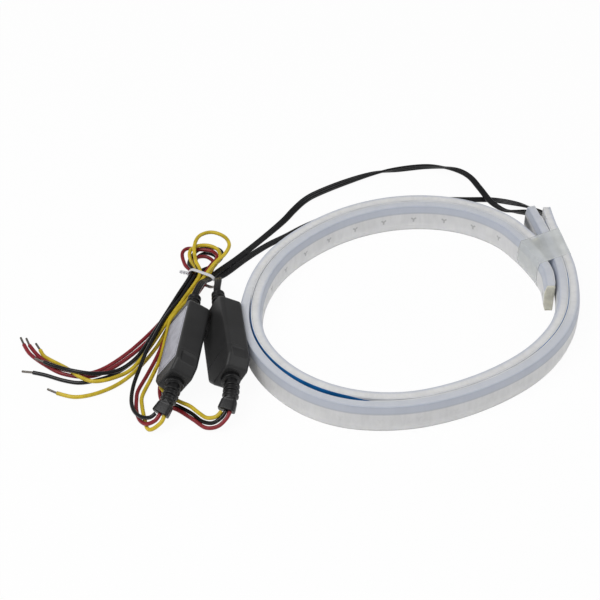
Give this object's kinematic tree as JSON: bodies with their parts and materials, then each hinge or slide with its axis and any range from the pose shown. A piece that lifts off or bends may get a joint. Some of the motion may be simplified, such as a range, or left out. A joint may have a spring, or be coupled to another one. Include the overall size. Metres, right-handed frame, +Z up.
{
  "type": "led turn signal strip",
  "caption": "Pair of flexible silicone LED turn signal strips wound in one ring, with flat leads, control boxes and three coloured wires each.",
  "frame": {"origin": "middle of the box around the ring and the control boxes, at the floor", "axes": "+X to the right along the row of boxes and ring, +Y away from the viewer, +Z up"},
  "size_m": [0.2453, 0.178, 0.0209],
  "materials": {
    "silicone": "translucent satin silicone",
    "silicone_plug": "translucent satin silicone",
    "end_plug": "yellowish silicone glue",
    "flex_board": "white flexible board",
    "led": "white body with a phosphor window",
    "component": "moulded",
    "adhesive_foam": "soft foam",
    "liner": "smooth film",
    "clear_tape": "clear glossy film",
    "box_plastic": "finely grained",
    "circuit_board": "coated",
    "relief_rubber": "satin",
    "black_cord": "satin sheath",
    "red_cord": "satin sheath",
    "yellow_cord": "satin sheath",
    "tinned_copper": "tinned strands",
    "label": "paper label",
    "tie": "coated wire tie"
  },
  "bodies": {
    "root": {"outer_sleeve": "silicone", "outer_board": "flex_board", "outer_leds": "led", "outer_resistors": "component", "outer_adhesive": "adhesive_foam", "outer_liner": "liner", "outer_lead_plug": "silicone_plug", "outer_end_plug": "end_plug", "outer_lead_tail": "black_cord", "inner_sleeve": "silicone", "inner_board": "flex_board", "inner_leds": "led", "inner_resistors": "component", "inner_adhesive": "adhesive_foam", "inner_liner": "liner", "inner_lead_plug": "silicone_plug", "inner_end_plug": "end_plug", "inner_lead_tail": "black_cord", "clear_tape": "clear_tape", "box_1_shell": "box_plastic", "box_1_cap": "box_plastic", "box_1_board": "circuit_board", "box_1_components": "component", "box_1_lead_relief": "relief_rubber", "box_1_wire_relief": "relief_rubber", "box_1_label": "label", "box_2_shell": "box_plastic", "box_2_cap": "box_plastic", "box_2_board": "circuit_board", "box_2_components": "component", "box_2_lead_relief": "relief_rubber", "box_2_wire_relief": "relief_rubber", "lead_1": "black_cord", "lead_2": "black_cord", "wire_1_black": "black_cord", "wire_1_red": "red_cord", "wire_1_yellow": "yellow_cord", "wire_2_black": "black_cord", "wire_2_red": "red_cord", "wire_2_yellow": "yellow_cord", "tinned_end_1_black": "tinned_copper", "tinned_end_1_red": "tinned_copper", "tinned_end_1_yellow": "tinned_copper", "tinned_end_2_black": "tinned_copper", "tinned_end_2_red": "tinned_copper", "tinned_end_2_yellow": "tinned_copper", "twist_tie": "tie"}
  },
  "joints": []
}
